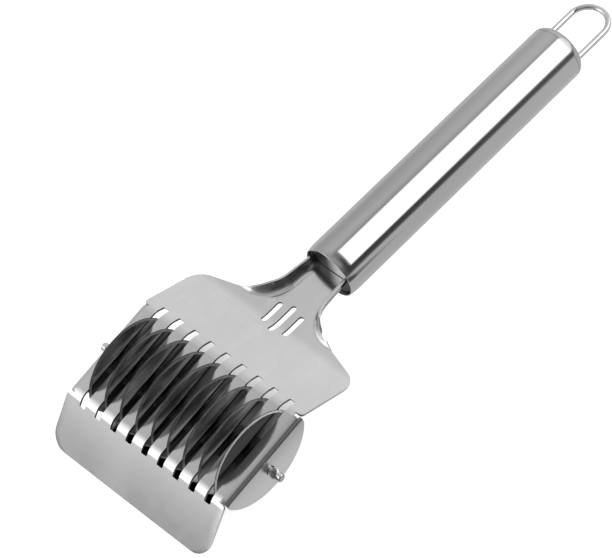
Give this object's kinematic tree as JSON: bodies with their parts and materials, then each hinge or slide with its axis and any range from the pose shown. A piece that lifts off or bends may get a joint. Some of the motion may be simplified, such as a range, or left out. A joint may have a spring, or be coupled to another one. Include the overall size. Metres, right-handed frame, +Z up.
{
  "type": "multi-blade herb cutter",
  "caption": "Hand roller with round blades turning on one axle under a bent, slotted sheet head, with a tube handle and a wire hanging loop.",
  "frame": {"origin": "on the table under the middle of the tool's bounding box, as it rests on its blades and the rear of its handle", "axes": "+X along the axle, +Y from the flap to the hanging loop, +Z up"},
  "size_m": [0.0862, 0.2508, 0.0378],
  "materials": {
    "sheet_steel": "polished stainless sheet",
    "blade_steel": "mirror-polished blade steel with a ground edge",
    "handle_steel": "satin-polished stainless tube",
    "rod_steel": "bright drawn stainless rod, wire and tube",
    "plug_steel": "bright turned steel plug"
  },
  "bodies": {
    "root": {"head_plate": "sheet_steel", "handle_tube": "handle_steel", "end_cap": "handle_steel", "handle_plug": "plug_steel", "hang_loop": "rod_steel"},
    "axle": {"axle": "rod_steel", "spacer_1": "rod_steel", "spacer_2": "rod_steel", "spacer_3": "rod_steel", "spacer_4": "rod_steel", "spacer_5": "rod_steel", "spacer_6": "rod_steel", "spacer_7": "rod_steel", "spacer_8": "rod_steel", "end_spacer_left": "rod_steel", "end_spacer_right": "rod_steel"},
    "blade_1": {"blade_1": "blade_steel"},
    "blade_2": {"blade_2": "blade_steel"},
    "blade_3": {"blade_3": "blade_steel"},
    "blade_4": {"blade_4": "blade_steel"},
    "blade_5": {"blade_5": "blade_steel"},
    "blade_6": {"blade_6": "blade_steel"},
    "blade_7": {"blade_7": "blade_steel"},
    "blade_8": {"blade_8": "blade_steel"},
    "blade_9": {"blade_9": "blade_steel"}
  },
  "joints": [
    {"name": "axle_spin", "type": "hinge", "parent": "root", "child": "axle", "pos_m": [0, -0.08964, 0.0189], "axis": [1, 0, 0], "continuous": true},
    {"name": "blade_1_spin", "type": "hinge", "parent": "root", "child": "blade_1", "pos_m": [-0.03016, -0.08964, 0.0189], "axis": [1, 0, 0], "continuous": true},
    {"name": "blade_2_spin", "type": "hinge", "parent": "root", "child": "blade_2", "pos_m": [-0.02262, -0.08964, 0.0189], "axis": [1, 0, 0], "continuous": true},
    {"name": "blade_3_spin", "type": "hinge", "parent": "root", "child": "blade_3", "pos_m": [-0.01508, -0.08964, 0.0189], "axis": [1, 0, 0], "continuous": true},
    {"name": "blade_4_spin", "type": "hinge", "parent": "root", "child": "blade_4", "pos_m": [-0.00754, -0.08964, 0.0189], "axis": [1, 0, 0], "continuous": true},
    {"name": "blade_5_spin", "type": "hinge", "parent": "root", "child": "blade_5", "pos_m": [0, -0.08964, 0.0189], "axis": [1, 0, 0], "continuous": true},
    {"name": "blade_6_spin", "type": "hinge", "parent": "root", "child": "blade_6", "pos_m": [0.00754, -0.08964, 0.0189], "axis": [1, 0, 0], "continuous": true},
    {"name": "blade_7_spin", "type": "hinge", "parent": "root", "child": "blade_7", "pos_m": [0.01508, -0.08964, 0.0189], "axis": [1, 0, 0], "continuous": true},
    {"name": "blade_8_spin", "type": "hinge", "parent": "root", "child": "blade_8", "pos_m": [0.02262, -0.08964, 0.0189], "axis": [1, 0, 0], "continuous": true},
    {"name": "blade_9_spin", "type": "hinge", "parent": "root", "child": "blade_9", "pos_m": [0.03016, -0.08964, 0.0189], "axis": [1, 0, 0], "continuous": true}
  ]
}
